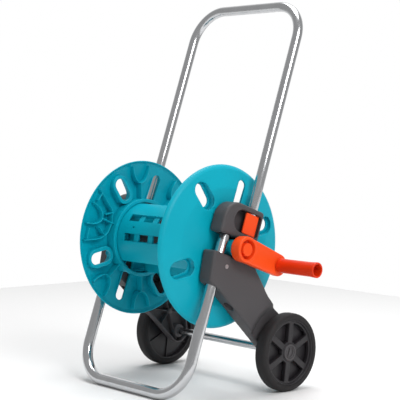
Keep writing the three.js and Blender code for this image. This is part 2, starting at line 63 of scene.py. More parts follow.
class Axes:
    """A local frame in the cart: its origin in metres and its rearward and upward directions."""

    def __init__(self, origin, back, up):
        self.origin = origin
        self.matrix = np.array([(1, 0, 0), tuple(back), tuple(up)], float)

    def world(self, points):
        return np.asarray(points, float) @ self.matrix * MM + np.array(self.origin)

    def local(self, point):
        return self.matrix @ ((np.array(point) - np.array(self.origin)) / MM)


LEANING = Axes(DRUM, BACK, UP)
UPRIGHT = Axes(DRUM, Vector((0, 1, 0)), Vector((0, 0, 1)))
AXLE = LEANING.local(WHEEL)[1:]
CRANK_TIP = UPRIGHT.local(GRIP)[1:]


# ---- Mesh helpers ----------------------------------------------------------------------


class Shape:
    """Vertices in millimetres and faces, gathered before they become one Blender object."""

    def __init__(self):
        self.points = []
        self.faces = []

    def add(self, points, faces):
        start = len(self.points)
        self.points.extend(tuple(p) for p in np.asarray(points, float))
        self.faces.extend(tuple(int(i) + start for i in face) for face in faces)
        return self

    def join(self, *others):
        for other in others:
            self.add(other.points, other.faces)
        return self


def make(name, shape, axes, body, slot, side=1, replaces=(), sharp=38, weld=0.0, other_material=None):
    """Turns a shape into an object that rides on a CAD body and stands for its CAD nodes.

    side -1 mirrors it, and the last argument names a material other than the slot's own, such as the grip's orange
    darkened with painted shade."""
    points = np.array(shape.points, float)
    points[:, 0] *= side
    mesh = bpy.data.meshes.new(name)
    faces = shape.faces if side > 0 else [face[::-1] for face in shape.faces]
    mesh.from_pydata(axes.world(points).tolist(), [], faces)
    mesh.validate()
    mesh.polygons.foreach_set("use_smooth", [True] * len(mesh.polygons))
    mesh.set_sharp_from_angle(angle=math.radians(sharp))
    obj = bpy.data.objects.new(name, mesh)
    bpy.context.scene.collection.objects.link(obj)
    if weld:
        work = bmesh.new()
        work.from_mesh(mesh)
        bmesh.ops.remove_doubles(work, verts=work.verts, dist=weld * MM)
        work.to_mesh(mesh)
        work.free()
        mesh.set_sharp_from_angle(angle=math.radians(sharp))
    mesh.materials.append(MATERIALS[other_material or slot])
    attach(obj, body)
    if replaces:
        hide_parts(*replaces)
    return obj


def polar(radius, degrees, centre=(0, 0)):
    turn = math.radians(degrees)
    return np.array(centre) + radius * np.array([math.cos(turn), math.sin(turn)])


def arc(centre, radius, start, end, steps=12):
    """Points of an arc, angles in degrees."""
    return [polar(radius, start + (end - start) * i / steps, centre) for i in range(steps + 1)]


def signed_area(loop):
    p = np.asarray(loop, float)
    q = np.roll(p, -1, axis=0)
    return float((p[:, 0] * q[:, 1] - q[:, 0] * p[:, 1]).sum() / 2)


def anticlockwise(loop):
    return [tuple(p) for p in (loop if signed_area(loop) > 0 else loop[::-1])]


def offset(loop, distance):
    """Moves an anticlockwise closed outline outwards by a distance, corner by corner."""
    p = np.asarray(loop, float)
    before = p - np.roll(p, 1, axis=0)
    after = np.roll(p, -1, axis=0) - p
    before /= np.maximum(np.linalg.norm(before, axis=1, keepdims=True), 1e-9)
    after /= np.maximum(np.linalg.norm(after, axis=1, keepdims=True), 1e-9)
    normal_a = np.stack([before[:, 1], -before[:, 0]], 1)
    normal_b = np.stack([after[:, 1], -after[:, 0]], 1)
    middle = normal_a + normal_b
    middle /= np.maximum(np.linalg.norm(middle, axis=1, keepdims=True), 1e-9)
    stretch = np.maximum((middle * normal_a).sum(1), 0.5)
    return p + middle * (distance / stretch)[:, None]


def fillet(corners, radius, steps=5, closed=True):
    """Rounds the corners of an outline. The radius is one number or one for each corner."""
    count = len(corners)
    radii = radius if hasattr(radius, "__len__") else [radius] * count
    result = []
    for i in range(count):
        here = np.array(corners[i], float)
        if radii[i] <= 0 or (not closed and i in (0, count - 1)):
            result.append(here)
            continue
        previous = np.array(corners[i - 1], float) - here
        following = np.array(corners[(i + 1) % count], float) - here
        reach_a, reach_b = np.linalg.norm(previous), np.linalg.norm(following)
        cosine = np.clip(previous @ following / (reach_a * reach_b), -0.999, 0.999)
        reach = min(radii[i] / math.tan(math.acos(cosine) / 2), 0.49 * reach_a, 0.49 * reach_b)
        start = here + previous / reach_a * reach
        end = here + following / reach_b * reach
        for step in range(steps + 1):
            t = step / steps
            result.append((1 - t) ** 2 * start + 2 * t * (1 - t) * here + t * t * end)
    return result


def strip(rows, closed_across=True, closed_along=False, flip=False):
    """A skin over rows of points that all have the same number of points."""
    rows = [np.asarray(row, float) for row in rows]
    wide = len(rows[0])
    faces = []
    for r in range(len(rows) if closed_along else len(rows) - 1):
        low, high = r * wide, ((r + 1) % len(rows)) * wide
        for i in range(wide if closed_across else wide - 1):
            j = (i + 1) % wide
            face = (low + i, low + j, high + j, high + i)
            faces.append(face[::-1] if flip else face)
    return np.concatenate(rows), faces


def lathe(profile, centre=(0, 0), segments=64, radius=None, steps=3):
    """A closed profile of (radius, x) corners turned about the x direction."""
    profile = np.array(fillet(profile, radius, steps) if radius is not None else profile, float)
    if signed_area(profile) < 0:
        profile = profile[::-1]
    turns = np.linspace(0, 2 * PI, segments, endpoint=False)
    rows = [
        np.stack(
            [
                profile[:, 1],
                centre[0] + profile[:, 0] * math.cos(t),
                centre[1] + profile[:, 0] * math.sin(t),
            ],
            1,
        )
        for t in turns
    ]
    points, faces = strip(rows, closed_across=True, closed_along=True)
    return Shape().add(points, faces)


def plate(loops, x0, x1, edge=0.8, steps=3, hold=0.35, low=None, high=None):
    """A flat piece with rounded edges: the first loop is its outline and the others are holes.

    low and high, where given, turn points of the outline into the x of that face.
    hold is a narrow flat margin inside the rounding."""
    loops = [anticlockwise(loop) for loop in loops]
    shape = Shape()
    caps = {0: [], 1: []}
    turns = np.linspace(PI / 2, 0, steps + 1)
    levels = [(edge + hold, 0.0)]
    levels += [(edge * (1 - math.cos(t)), edge * (1 - math.sin(t))) for t in turns]
    for number, loop in enumerate(loops):
        sign = 1 if number == 0 else -1
        rows = []
        for inset, drop in levels:
            flat = offset(loop, -sign * inset)
            x = high(flat) if high else np.full(len(flat), float(x1))
            rows.append(np.column_stack([x - drop, flat]))
        for inset, drop in levels[::-1]:
            flat = offset(loop, -sign * inset)
            x = low(flat) if low else np.full(len(flat), float(x0))
            rows.append(np.column_stack([x + drop, flat]))
        points, faces = strip(rows, flip=sign < 0)
        start = len(shape.points)
        shape.add(points, faces)
        wide = len(loop)
        caps[1].append((rows[0][:, 1:], range(start, start + wide)))
        last = start + wide * (len(rows) - 1)
        caps[0].append((rows[-1][:, 1:], range(last, last + wide)))
    for top in (0, 1):
        outlines = [[Vector((p[0], p[1], 0)) for p in flat] for flat, _ in caps[top]]
        index = [i for _, numbers in caps[top] for i in numbers]
        flats = np.concatenate([flat for flat, _ in caps[top]])
        for tri in tessellate_polygon(outlines):
            a, b, c = (flats[i] for i in tri)
            turn = (b[0] - a[0]) * (c[1] - a[1]) - (b[1] - a[1]) * (c[0] - a[0])
            face = tri if (turn > 0) == bool(top) else tri[::-1]
            shape.faces.append(tuple(index[i] for i in face))
    return shape


def wall(path, thick, low, high, closed=False):
    """A thin rib along a path in the side plane, with a rounded free edge at x = low."""
    path = np.array(path, float)
    if closed:
        ahead, behind = np.roll(path, -1, axis=0), np.roll(path, 1, axis=0)
    else:
        ahead = np.vstack([path[1:], path[-1:] * 2 - path[-2:-1]])
        behind = np.vstack([path[:1] * 2 - path[1:2], path[:-1]])
    along = ahead - behind
    along /= np.maximum(np.linalg.norm(along, axis=1, keepdims=True), 1e-9)
    across = np.stack([-along[:, 1], along[:, 0]], 1)
    tops = high(path) if callable(high) else np.full(len(path), float(high))
    half = thick / 2
    section = [(-half, None), (-half, half), (-0.7 * half, 0.3 * half), (0, 0)]
    section += [(0.7 * half, 0.3 * half), (half, half), (half, None)]
    rows = []
    for i in range(len(path)):
        row = []
        for side, rise in section:
            x = tops[i] if rise is None else low + rise
            row.append((x, *(path[i] + across[i] * side)))
        rows.append(row)
    points, faces = strip(rows, closed_across=True, closed_along=closed)
    shape = Shape().add(points, faces)
    if not closed:
        wide = len(section)
        shape.faces.append(tuple(range(wide))[::-1])
        shape.faces.append(tuple(range(len(points) - wide, len(points))))
    return shape


TUBE_LIP, TUBE_MOUTH = 0.5, 12  # an end's rounding, and how far its bore is modelled


def sweep(path, radius, segments=32, inner=None):
    """A tube along 3D points, with open ends turned in to its inner radius."""
    path = np.array(path, float)
    ahead = np.vstack([path[1:], path[-1:] * 2 - path[-2:-1]])
    behind = np.vstack([path[:1] * 2 - path[1:2], path[:-1]])
    along = ahead - behind
    along /= np.linalg.norm(along, axis=1, keepdims=True)
    side = np.array([0.0, 1.0, 0.0])
    if abs(along[0] @ side) > 0.9:
        side = np.array([1.0, 0.0, 0.0])
    turns = np.linspace(0, 2 * PI, segments, endpoint=False)
    rows = []
    for here, way in zip(path, along):
        side = side - way * (side @ way)
        side /= np.linalg.norm(side)
        other = np.cross(way, side)
        rows.append([side * math.cos(t) + other * math.sin(t) for t in turns])
    rows = np.array(rows)
    radii = radius if hasattr(radius, "__len__") else [radius] * len(path)
    rings = [path[i] + rows[i] * radii[i] for i in range(len(path))]
    if inner:
        rings[0] = rings[0] + along[0] * TUBE_LIP
        rings[-1] = rings[-1] - along[-1] * TUBE_LIP
        rings.insert(0, path[0] + rows[0] * (radii[0] - TUBE_LIP))
        rings.append(path[-1] + rows[-1] * (radii[-1] - TUBE_LIP))
        rings.append(path[-1] + rows[-1] * inner)
        rings.append(path[-1] - along[-1] * TUBE_MOUTH + rows[-1] * inner)
        rings.insert(0, path[0] + rows[0] * inner)
        rings.insert(0, path[0] + along[0] * TUBE_MOUTH + rows[0] * inner)
    points, faces = strip(rings)
    shape = Shape().add(points, faces)
    count = len(points)
    shape.faces.append(tuple(range(segments))[::-1])
    shape.faces.append(tuple(range(count - segments, count)))
    return shape


AXIS = 0.01  # a solid turned piece starts this far from its axis


def rod(radius, x0, x1, centre=(0, 0), edge=0.5, segments=32):
    profile = [(AXIS, x0), (radius, x0), (radius, x1), (AXIS, x1)]
    return lathe(profile, centre, segments, [0, edge, edge, 0])


# ---- Signed distance pieces ------------------------------------------------------------


def outline_distance(loop, a, b):
    """Signed distance from a closed outline, negative inside, at the points of a flat grid."""
    p = np.asarray(loop, float)
    q = np.roll(p, -1, axis=0)
    best = np.full(a.shape, 1e9)
    inside = np.zeros(a.shape, bool)
    for (ax, ay), (bx, by) in zip(p, q):
        dx, dy = bx - ax, by - ay
        t = np.clip(((a - ax) * dx + (b - ay) * dy) / max(dx * dx + dy * dy, 1e-12), 0, 1)
        best = np.minimum(best, (a - ax - t * dx) ** 2 + (b - ay - t * dy) ** 2)
        if ay != by:
            crosses = (ay > b) != (by > b)
            inside ^= crosses & (a < (bx - ax) * (b - ay) / (by - ay) + ax)
    return np.where(inside, -1, 1) * np.sqrt(best)


def smooth_max(first, second, size):
    blend = np.clip(0.5 + 0.5 * (first - second) / size, 0, 1)
    return second * (1 - blend) + first * blend + size * blend * (1 - blend)


def smooth_min(first, second, size):
    return -smooth_max(-first, -second, size)


def rounded_slab(flat, x, x0, x1, radius):
    """Distance from an outline pushed from x0 to x1, with all its edges rounded."""
    q0 = flat + radius
    q1 = np.abs(x - (x0 + x1) / 2) - (x1 - x0) / 2 + radius
    outside = np.sqrt(np.maximum(q0, 0) ** 2 + np.maximum(q1, 0) ** 2)
    return outside + np.minimum(np.maximum(q0, q1), 0) - radius


def surface_net(field, origin, step):
    """The zero surface of a signed distance field on a grid, as points and four-sided faces."""
    inside = field < 0
    sizes = np.array(field.shape)
    corners = [(i, j, k) for i in (0, 1) for j in (0, 1) for k in (0, 1)]
    total = np.zeros(sizes - 1, np.int8)
    for i, j, k in corners:
        total += inside[i : sizes[0] - 1 + i, j : sizes[1] - 1 + j, k : sizes[2] - 1 + k]
    active = (total > 0) & (total < 8)
    cells = np.argwhere(active)
    index = np.full(active.shape, -1)
    index[active] = np.arange(len(cells))
    place = np.zeros((len(cells), 3))
    hits = np.zeros(len(cells))
    for first in corners:
        for axis in range(3):
            if first[axis]:
                continue
            second = list(first)
            second[axis] = 1
            one = field[tuple((cells + first).T)]
            two = field[tuple((cells + second).T)]
            cross = (one < 0) != (two < 0)
            t = np.where(cross, one / np.where(cross, one - two, 1), 0)
            spot = np.array(first, float)[None, :] + np.eye(3)[axis][None, :] * t[:, None]
            place[cross] += spot[cross]
            hits[cross] += 1
    points = (cells + place / hits[:, None]) * step + np.array(origin)
    faces = []
    for axis in range(3):
        b, c = (axis + 1) % 3, (axis + 2) % 3
        low = [slice(1, -1)] * 3
        high = [slice(1, -1)] * 3
        low[axis] = slice(0, -1)
        high[axis] = slice(1, None)
        one, two = inside[tuple(low)], inside[tuple(high)]
        for change, forward in ((one & ~two, True), (~one & two, False)):
            spots = np.argwhere(change) + 1
            spots[:, axis] -= 1
            eb, ec = np.eye(3, dtype=int)[b], np.eye(3, dtype=int)[c]
            ring = [spots - eb - ec, spots - ec, spots, spots - eb]
            quad = np.stack([index[tuple(r.T)] for r in ring], 1)
            faces.append(quad if forward else quad[:, ::-1])
    return points, np.concatenate(faces)


def netted(distance, low, high, step, keep=0.3):
    """Samples distance(x, a, b) between two corners and returns its surface, thinned."""
    grids = [np.arange(low[i] - 2 * step, high[i] + 2.5 * step, step) for i in range(3)]
    x, a, b = np.meshgrid(*grids, indexing="ij")
    points, faces = surface_net(distance(x, a, b), [g[0] for g in grids], step)
    mesh = bpy.data.meshes.new("net")
    mesh.from_pydata(points.tolist(), [], faces.tolist())
    obj = bpy.data.objects.new("net", mesh)
    bpy.context.scene.collection.objects.link(obj)
    thin = obj.modifiers.new("thin", "DECIMATE")
    thin.ratio = keep
    result = obj.evaluated_get(bpy.context.evaluated_depsgraph_get()).to_mesh()
    shape = Shape().add([v.co for v in result.vertices], [p.vertices[:] for p in result.polygons])
    bpy.data.objects.remove(obj)
    bpy.data.meshes.remove(mesh)
    return shape


# ---- Materials -------------------------------------------------------------------------


def linear(red, green, blue):
    """Screen colour, 0 to 255, as linear light."""
    values = [v / 255 for v in (red, green, blue)]
    return tuple(v / 12.92 if v <= 0.04045 else ((v + 0.055) / 1.055) ** 2.4 for v in values) + (1,)


def procedural(name, colour, rough, vary=0.06, metal=0.0, grain=900, bump=0.03, broad=14, spread=0.08,
               stretch=(1, 1, 1), coat=0.0, specular=0.5):
    """A material with a broad colour change, fine grain in its bump and uneven roughness."""
    material = bpy.data.materials.new(name)
    material.use_nodes = True
    nodes, links = material.node_tree.nodes, material.node_tree.links
    shader = nodes["Principled BSDF"]
    shader.inputs["Metallic"].default_value = metal
    shader.inputs["Specular IOR Level"].default_value = specular
    if coat:
        shader.inputs["Coat Weight"].default_value = coat
        shader.inputs["Coat Roughness"].default_value = 0.25
    place = nodes.new("ShaderNodeTexCoord")
    mapping = nodes.new("ShaderNodeMapping")
    mapping.inputs["Scale"].default_value = stretch
    links.new(place.outputs["Object"], mapping.inputs["Vector"])

    def noise(scale, detail):
        node = nodes.new("ShaderNodeTexNoise")
        node.inputs["Scale"].default_value = scale
        node.inputs["Detail"].default_value = detail
        links.new(mapping.outputs["Vector"], node.inputs["Vector"])
        return node

    large, fine = noise(broad, 3), noise(grain, 2)
    tint = nodes.new("ShaderNodeMix")
    tint.data_type = "RGBA"
    tint.inputs[6].default_value = tuple(c * (1 - vary) for c in colour[:3]) + (1,)
    tint.inputs[7].default_value = tuple(min(1, c * (1 + vary)) for c in colour[:3]) + (1,)
    links.new(large.outputs["Fac"], tint.inputs[0])
    links.new(tint.outputs[2], shader.inputs["Base Color"])
    uneven = nodes.new("ShaderNodeMapRange")
    uneven.inputs["To Min"].default_value = rough - spread
    uneven.inputs["To Max"].default_value = rough + spread
    links.new(fine.outputs["Fac"], uneven.inputs["Value"])
    links.new(uneven.outputs["Result"], shader.inputs["Roughness"])
    relief = nodes.new("ShaderNodeBump")
    relief.inputs["Strength"].default_value = bump
    relief.inputs["Distance"].default_value = 0.0005
    links.new(fine.outputs["Fac"], relief.inputs["Height"])
    links.new(relief.outputs["Normal"], shader.inputs["Normal"])
    return material


MATERIALS = {
    "galvanised_steel": procedural("galvanised_steel", linear(202, 203, 205), 0.2, vary=0.1, metal=1.0,
                                   grain=160, bump=0.05, broad=30, spread=0.06, stretch=(1, 1, 0.2)),
    "zinc_fastener": procedural("zinc_fastener", linear(190, 192, 194), 0.33, metal=1.0, grain=700),
    "teal_plastic": procedural("teal_plastic", linear(0, 163, 184), 0.42,
                               vary=0.05, bump=0.06, specular=0.2),
    "grey_plastic": procedural("grey_plastic", linear(76, 74, 76), 0.5,
                               vary=0.06, bump=0.12, specular=0.25),
    "dark_plastic": procedural("dark_plastic", linear(48, 48, 51), 0.55, bump=0.12, specular=0.35),
    "wheel_plastic": procedural("wheel_plastic", linear(38, 36, 39), 0.45, bump=0.1, specular=0.4),
    "orange_plastic": procedural("orange_plastic", linear(244, 80, 26), 0.38, vary=0.04, bump=0.05,
                                 specular=0.22),
    # The crank's orange darkened for the grip: painted shade, since the grip is the same orange plastic as the
    # arm.
    "grip_orange_painted_shade": procedural("grip_orange_painted_shade", linear(218, 52, 10), 0.34, vary=0.04, bump=0.05,
                              specular=0.25),
    "black_bush": procedural("black_bush", linear(28, 28, 30), 0.5, specular=0.35),
    "seal_rubber": procedural("seal_rubber", linear(22, 22, 23), 0.7, bump=0.15, specular=0.3),
    "tyre_rubber": procedural("tyre_rubber", linear(36, 34, 35), 0.65, grain=500, bump=0.2, specular=0.3),
}
for part in frame["record"]["subparts"]:
    node = frame["nodes"][part["node"]]
    node.data.materials.clear()
    node.data.materials.append(MATERIALS[part["material_slot"]])


# ---- Tubes -----------------------------------------------------------------------------

FRAME_TUBE = {"radius": 10.95, "back": -29, "span": 152, "start": 29, "bar": -302}
HANDLE_TUBE = {"radius": 10, "back": 30, "span": 150, "start": -60, "bar": 516.9}
BEND = 70


def hoop(radius, back, span, start, bar, wall_thickness=1.2):
    """A U-shaped tube: two uprights and a crossbar at the height `bar`."""
    rise = 1 if bar > start else -1
    knee = bar - rise * BEND
    path = [(-span, start), (-span, (start + knee) / 2)]
    for step in range(17):
        turn = PI / 2 * step / 16
        path.append((-span + BEND * (1 - math.cos(turn)), knee + rise * BEND * math.sin(turn)))
    path.append((0, bar))
    path += [(-x, u) for x, u in path[-2::-1]]
    return sweep([(x, back, u) for x, u in path], radius, 40, inner=radius - wall_thickness)


make("lower_frame_hoop", hoop(*FRAME_TUBE.values()), LEANING, "frame", "galvanised_steel",
     replaces=["lower_frame_tube"], sharp=60)
make("handle_hoop", hoop(*HANDLE_TUBE.values(), 1.0), LEANING, "handle", "galvanised_steel",
     replaces=["handle_tube"], sharp=60)
axle_path = [(x, *AXLE) for x in np.linspace(-185.5, 185.5, 9)]
make("wheel_axle", sweep(axle_path, 8, 32, inner=6.8), LEANING, "frame", "galvanised_steel",
     replaces=["axle_tube"], sharp=60)

# ---- Brackets --------------------------------------------------------------------------

INNER, OUTER = 135, 167
SADDLE, SADDLE_END = 17.2, 70  # the round seat of the drum's journal
BOSS, WHEEL_CLEARANCE, LEG_STEP, LEG_X = 25, 82, 26, 154.5
STAR = (153, -124)  # where the leg's ribs meet
LEG_WALL = 3.5


def bracket_outline():
    """The bracket from the side: upper block, journal seat, lower block and leg."""
    shoulder = polar(SADDLE, SADDLE_END)
    loop = arc((44, 79), 6, 0, 90, 6)
    loop += arc((-18, 49), 36, 90, 180, 14)
    loop += arc((-49, 24), 5, 180, 270, 5)
    loop += [(shoulder[0], 19)]
    loop += arc((0, 0), SADDLE, SADDLE_END, -SADDLE_END, 16)
    loop += [(shoulder[0], -18)]
    loop += arc((-51, -23), 5, 90, 180, 5)
    loop += arc((-37, -70), 12, 180, 270, 7)
    loop += [(-20, -86)]
    loop += arc(AXLE, BOSS, -113, 40, 18)
    loop += [(204, -124), (195.5, -110.5), (186, -98), (178.5, -91), (170, -86), (152, -80)]
    loop += [(134, -72.5), (118, -64), (108, -57), (100, -50), (84, -38), (68, -26)]
    loop += [(58, -14.5), (52, -4), (50, 8)]
    return [tuple(p) for p in loop]


def window_outline(left=-27, right=45, bottom=31.5, top=75):
    """The opening for the lock lever: round in front, with cut corners behind."""
    cut = 4
    radius = (top - bottom) / 2
    loop = [(right - cut, bottom), (right, bottom + cut), (right, top - cut), (right - cut, top)]
    return loop + [tuple(p) for p in arc((left + radius, bottom + radius), radius, 90, 270, 20)]


def leg_face(a, b):
    """The x of the bracket's outer face: it falls away in front of the wheel."""
    slope = np.clip((np.hypot(a - AXLE[0], b - AXLE[1]) - WHEEL_CLEARANCE) / LEG_STEP, 0, 1)
    return LEG_X + (OUTER + 2 - LEG_X) * slope * slope * (3 - 2 * slope)


def hollow_floor(a, b):
    """The x that the hollow on the leg's inner side reaches."""
    return np.minimum(OUTER - LEG_WALL, leg_face(a, b) - LEG_WALL)


def bracket_distance(x, a, b):
    """The bracket as a distance field: its rounded body less its window, sockets and hollow."""
    flat_a, flat_b = a[0], b[0]
    flat = outline_distance(bracket_outline(), flat_a, flat_b)
    body = rounded_slab(flat[None], x, INNER - 12, OUTER, 5.5)
    from_axle = np.hypot(flat_a - AXLE[0], flat_b - AXLE[1])
    body = smooth_max(body, (x - leg_face(flat_a, flat_b)[None]) * 0.8, 4)
    body = np.maximum(body, INNER - x)
    window = np.maximum(outline_distance(window_outline(), flat_a, flat_b)[None], 147 - x)
    body = smooth_max(body, -window, 2.2)
    handle_channel = np.hypot(a - 30, x - 152) - 10.5
    socket = np.maximum(np.hypot(a + 29, x - 152) - 11.3, b - 29.3)
    recess = np.maximum(np.hypot(a + 15.5, b + 40) - 4.4, 163.6 - x)
    hollow_side = np.maximum(flat + LEG_WALL, 44 - flat_a)
    hollow = np.maximum(hollow_side[None], x - hollow_floor(flat_a, flat_b)[None])
    hollow = np.maximum(hollow, 14 - from_axle[None])
    post = np.hypot(a - STAR[0], b - STAR[1]) - 6
    hollow = np.maximum(hollow, -post)
    for hole in (handle_channel, socket, recess, hollow):
        body = smooth_max(body, -hole, 0.8)
    return body


def bar(start, end, thick, x0, x1, edge=0.6):
    """A straight rib between two points of the side plane."""
    start, end = np.array(start, float), np.array(end, float)
    along = (end - start) / np.linalg.norm(end - start)
    across = np.array([-along[1], along[0]]) * thick / 2
    loop = [start - across, end - across, end + across, start + across]
    return plate([loop], x0, x1, edge, 2)


bracket = netted(bracket_distance, (INNER, -57, -184), (OUTER, 220, 84), 1.25, keep=0.22)
ribs = Shape()
for i in range(6):
    line = np.array([polar(radius, 8 + 60 * i, STAR) for radius in range(5, 70, 3)])
    inside = outline_distance(bracket_outline(), line[:, 0], line[:, 1]) < -1.5
    line = line[: len(line) if inside.all() else int(np.argmin(inside))]
    ribs.join(wall(line, 2.2, 138.2, lambda path: hollow_floor(path[:, 0], path[:, 1]) + 0.8))
ribs.join(lathe([(2.2, 136), (6, 136), (6, 151.5), (2.2, 151.5)], STAR, 24, 0.5))


def cover_outline():
    loop = [(44, -78), (44, 74)]
    loop += arc((40, 74), 4, 0, 90, 4) + arc((-18, 46), 32, 90, 180, 12)
    loop += [(-50, 21)] + arc((0, 0), 27, 120, -120, 24) + [(-51, -27.5), (-46, -66), (-36, -78)]
    return loop


cover = plate([cover_outline()], 132.7, 134.7, 0.5, 2)
for side, hand in ((1, "right"), (-1, "left")):
    make(hand + "_bracket_shell", bracket, LEANING, "frame", "grey_plastic", side,
         replaces=[hand + "_bracket"], sharp=60)
    make(hand + "_leg_ribs", ribs, LEANING, "frame", "grey_plastic", side)
    make(hand + "_bracket_lid", cover, LEANING, "frame", "dark_plastic", side,
         replaces=[hand + "_bracket_cover"])

# ---- Lock levers -----------------------------------------------------------------------

LEVER_FRONT, LEVER_BACK, LEVER_BOTTOM, LEVER_TOP = 3.5, 34, 32.4, 73
lever_corners = [(LEVER_FRONT, LEVER_BOTTOM), (LEVER_BACK, LEVER_BOTTOM)]
lever_corners += [(LEVER_BACK, LEVER_TOP), (LEVER_FRONT, LEVER_TOP)]
lever = plate([fillet(lever_corners, [3, 1.5, 1.5, 3])], 160.6, 164.5, 1.2, 4)
knuckle_path = [(157.5, 41, u) for u in (31.9, 44, 54, 62, 74.6)]
lever.join(sweep(knuckle_path, 3, 20, inner=1.6))
lever.join(bar((31, 52.7), (39, 52.7), 38, 158.2, 162.4))
for side, hand in ((1, "right"), (-1, "left")):
    make(hand + "_lever", lever, LEANING, hand + "_lock", "orange_plastic", side,
         replaces=[hand + "_lock_lever"])

# ---- Drum ------------------------------------------------------------------------------

DISC_RADIUS, RIM_X, SHOULDER, SHOULDER_X = 159, 114.8, 151, 123
FLAT, FACE_X, RIB_X, SKIN = 112, 131, 112, 3.2
HUB_RING = 24  # the skin starts here, around the journal

# Each slot: its angle, its sideways shift, inner radius, width, rim width and rim margin.
SLOTS = [(124.5, -12.5, 88, 24, 34, 4), (191.5, 14.5, 88, 24, 34, 4), (248.5, 0, 50, 20, 20, 0)]
SLOT_END, TUB_WALL, TUB_FLOOR, LONG_SLOT_X = 137, 2.5, 117, 123
BOSS_TURNS = (22, 114, 202, 294)


def stadium(start, end, width, steps=14):
    """A slot with round ends."""
    start, end = np.array(start, float), np.array(end, float)
    heading = math.degrees(math.atan2(end[1] - start[1], end[0] - start[0]))
    loop = arc(end, width / 2, heading - 90, heading + 90, steps)
    loop += arc(start, width / 2, heading + 90, heading + 270, steps)
    return [tuple(p) for p in loop]


def slot_outline(slot, turn, width, extra=0.0):
    heading, aside, inner = slot[0] + turn, slot[1], slot[2]
    along = polar(1, heading)
    off = np.array([-along[1], along[0]]) * aside
    near, far = (math.sqrt(radius * radius - aside * aside) for radius in (inner, SLOT_END))
    start = along * (near - extra + width / 2) + off
    end = along * (far + extra - width / 2) + off
    return stadium(start, end, width)


def face_x(points):
    """The outer face of a disc: flat, then a cone down to the shoulder."""
    radius = np.hypot(points[:, 0], points[:, 1])
    cone = np.clip((radius - FLAT) / (SHOULDER - FLAT), 0, 1)
    softened = np.where(cone < 0.12, cone * cone / 0.24, cone - 0.06)
    return FACE_X - (FACE_X - SHOULDER_X) * softened / 0.94


def under_x(points):
    return face_x(points) - SKIN + 1.4


ALL_SLOTS = [(slot, turn) for turn in (0, 180) for slot in SLOTS]


def disc_skin():
    """The outer skin of a disc with its slots, and the rounded rim."""
    round_off = 1.3
    loops = [slot_outline(slot, turn, slot[4], slot[5]) for slot, turn in ALL_SLOTS]
    segments = 144
    rings = [HUB_RING, 34, 46, 58, 70, 82, 94, 104, 110, 112, 114, 117, 121, 127, 133, 139, 145, SHOULDER]
    points, edges = [], []
    for radius in rings:
        around = segments if radius > 60 else segments // 2
        ring = np.array([polar(radius, 360 * i / around) for i in range(around)])
        gaps = np.min([outline_distance(loop, ring[:, 0], ring[:, 1]) for loop in loops], axis=0)
        keep = gaps > round_off + 1.2
        if radius in (HUB_RING, SHOULDER):
            keep[:] = True
        points += [tuple(p) for p in ring[keep]]
    for loop in loops:
        for away in (0.0, 0.4, round_off):
            row = offset(anticlockwise(loop), away)
            start = len(points)
            points += [tuple(p) for p in row]
            edges += [(start + i, start + (i + 1) % len(row)) for i in range(len(row))]
    made = delaunay_2d_cdt([Vector(p) for p in points], edges, [], 0, 1e-6)
    flat = np.array([tuple(v) for v in made[0]])
    gaps = np.min([outline_distance(loop, flat[:, 0], flat[:, 1]) for loop in loops], axis=0)
    faces = []
    for face in made[2]:
        middle = flat[list(face)].mean(0)
        radius = math.hypot(*middle)
        if radius < HUB_RING - 0.01:
            continue
        if min(outline_distance(loop, middle[:1], middle[1:])[0] for loop in loops) < -1e-4:
            continue
        faces.append(tuple(face))
    inward = round_off - np.maximum(gaps, 0)
    rounding = round_off - np.sqrt(np.maximum(round_off**2 - inward**2, 0))
    drop = np.minimum(np.where(gaps < round_off, rounding, 0), round_off * 0.8)
    top = np.column_stack([face_x(flat) - drop, flat])
    turns = [signed_area(flat[list(face)]) for face in faces]
    faces = [face if turn > 0 else face[::-1] for face, turn in zip(faces, turns)]
    shape = Shape().add(top, faces)
    low = np.column_stack([face_x(flat) - SKIN, flat])
    shape.add(low, [face[::-1] for face in faces])
    used = {(face[i], face[(i + 1) % len(face)]): True for face in faces for i in range(len(face))}
    count = len(flat)
    for a, b in used:
        if (b, a) not in used and math.hypot(*flat[a]) < SHOULDER - 0.5:
            shape.faces.append((b, a, a + count, b + count))
    return shape


def disc_rim():
    """The rounded rim, from the shoulder outwards and back under the skin."""
    profile = [(SHOULDER, SHOULDER_X), (153.6, 121.9), (155.8, 120.3), (157.6, 118.0), (158.7, 116.4)]
    profile += [(DISC_RADIUS, RIM_X + 0.8), (158.6, RIM_X), (157, RIM_X), (156.4, RIM_X + 0.6)]
    profile += [(155.6, 117), (153.5, 118.6), (SHOULDER, SHOULDER_X - SKIN)]
    rows = []
    for i in range(144):
        t = 2 * PI * i / 144
        rows.append([(x, r * math.cos(t), r * math.sin(t)) for r, x in profile])
    points, faces = strip(rows, closed_across=False, closed_along=True, flip=True)
    return Shape().add(points, faces)


def rib_paths():
    """The ribs on a disc's inner side: U-shaped scallops, radial ribs and round webs."""
    paths = []
    for degrees in (92, 158, 222.5, 272, 338, 42.5):
        centre = polar(153, degrees)
        axis, other = polar(1, degrees), polar(1, degrees + 90)
        loop = []
        for step in range(49):
            t = 2 * PI * step / 48
            loop.append(centre + axis * 39.9 * math.cos(t) + other * 21.9 * math.sin(t))
        loop = [p for p in loop if math.hypot(*p) < 150.5]
        paths.append((loop, 2.2))
        paths.append(([polar(r, degrees) for r in np.linspace(79.5, 114, 8)], 2.2))
    for middle in (158, 338):
        paths += nested_ribs(middle)
    return paths


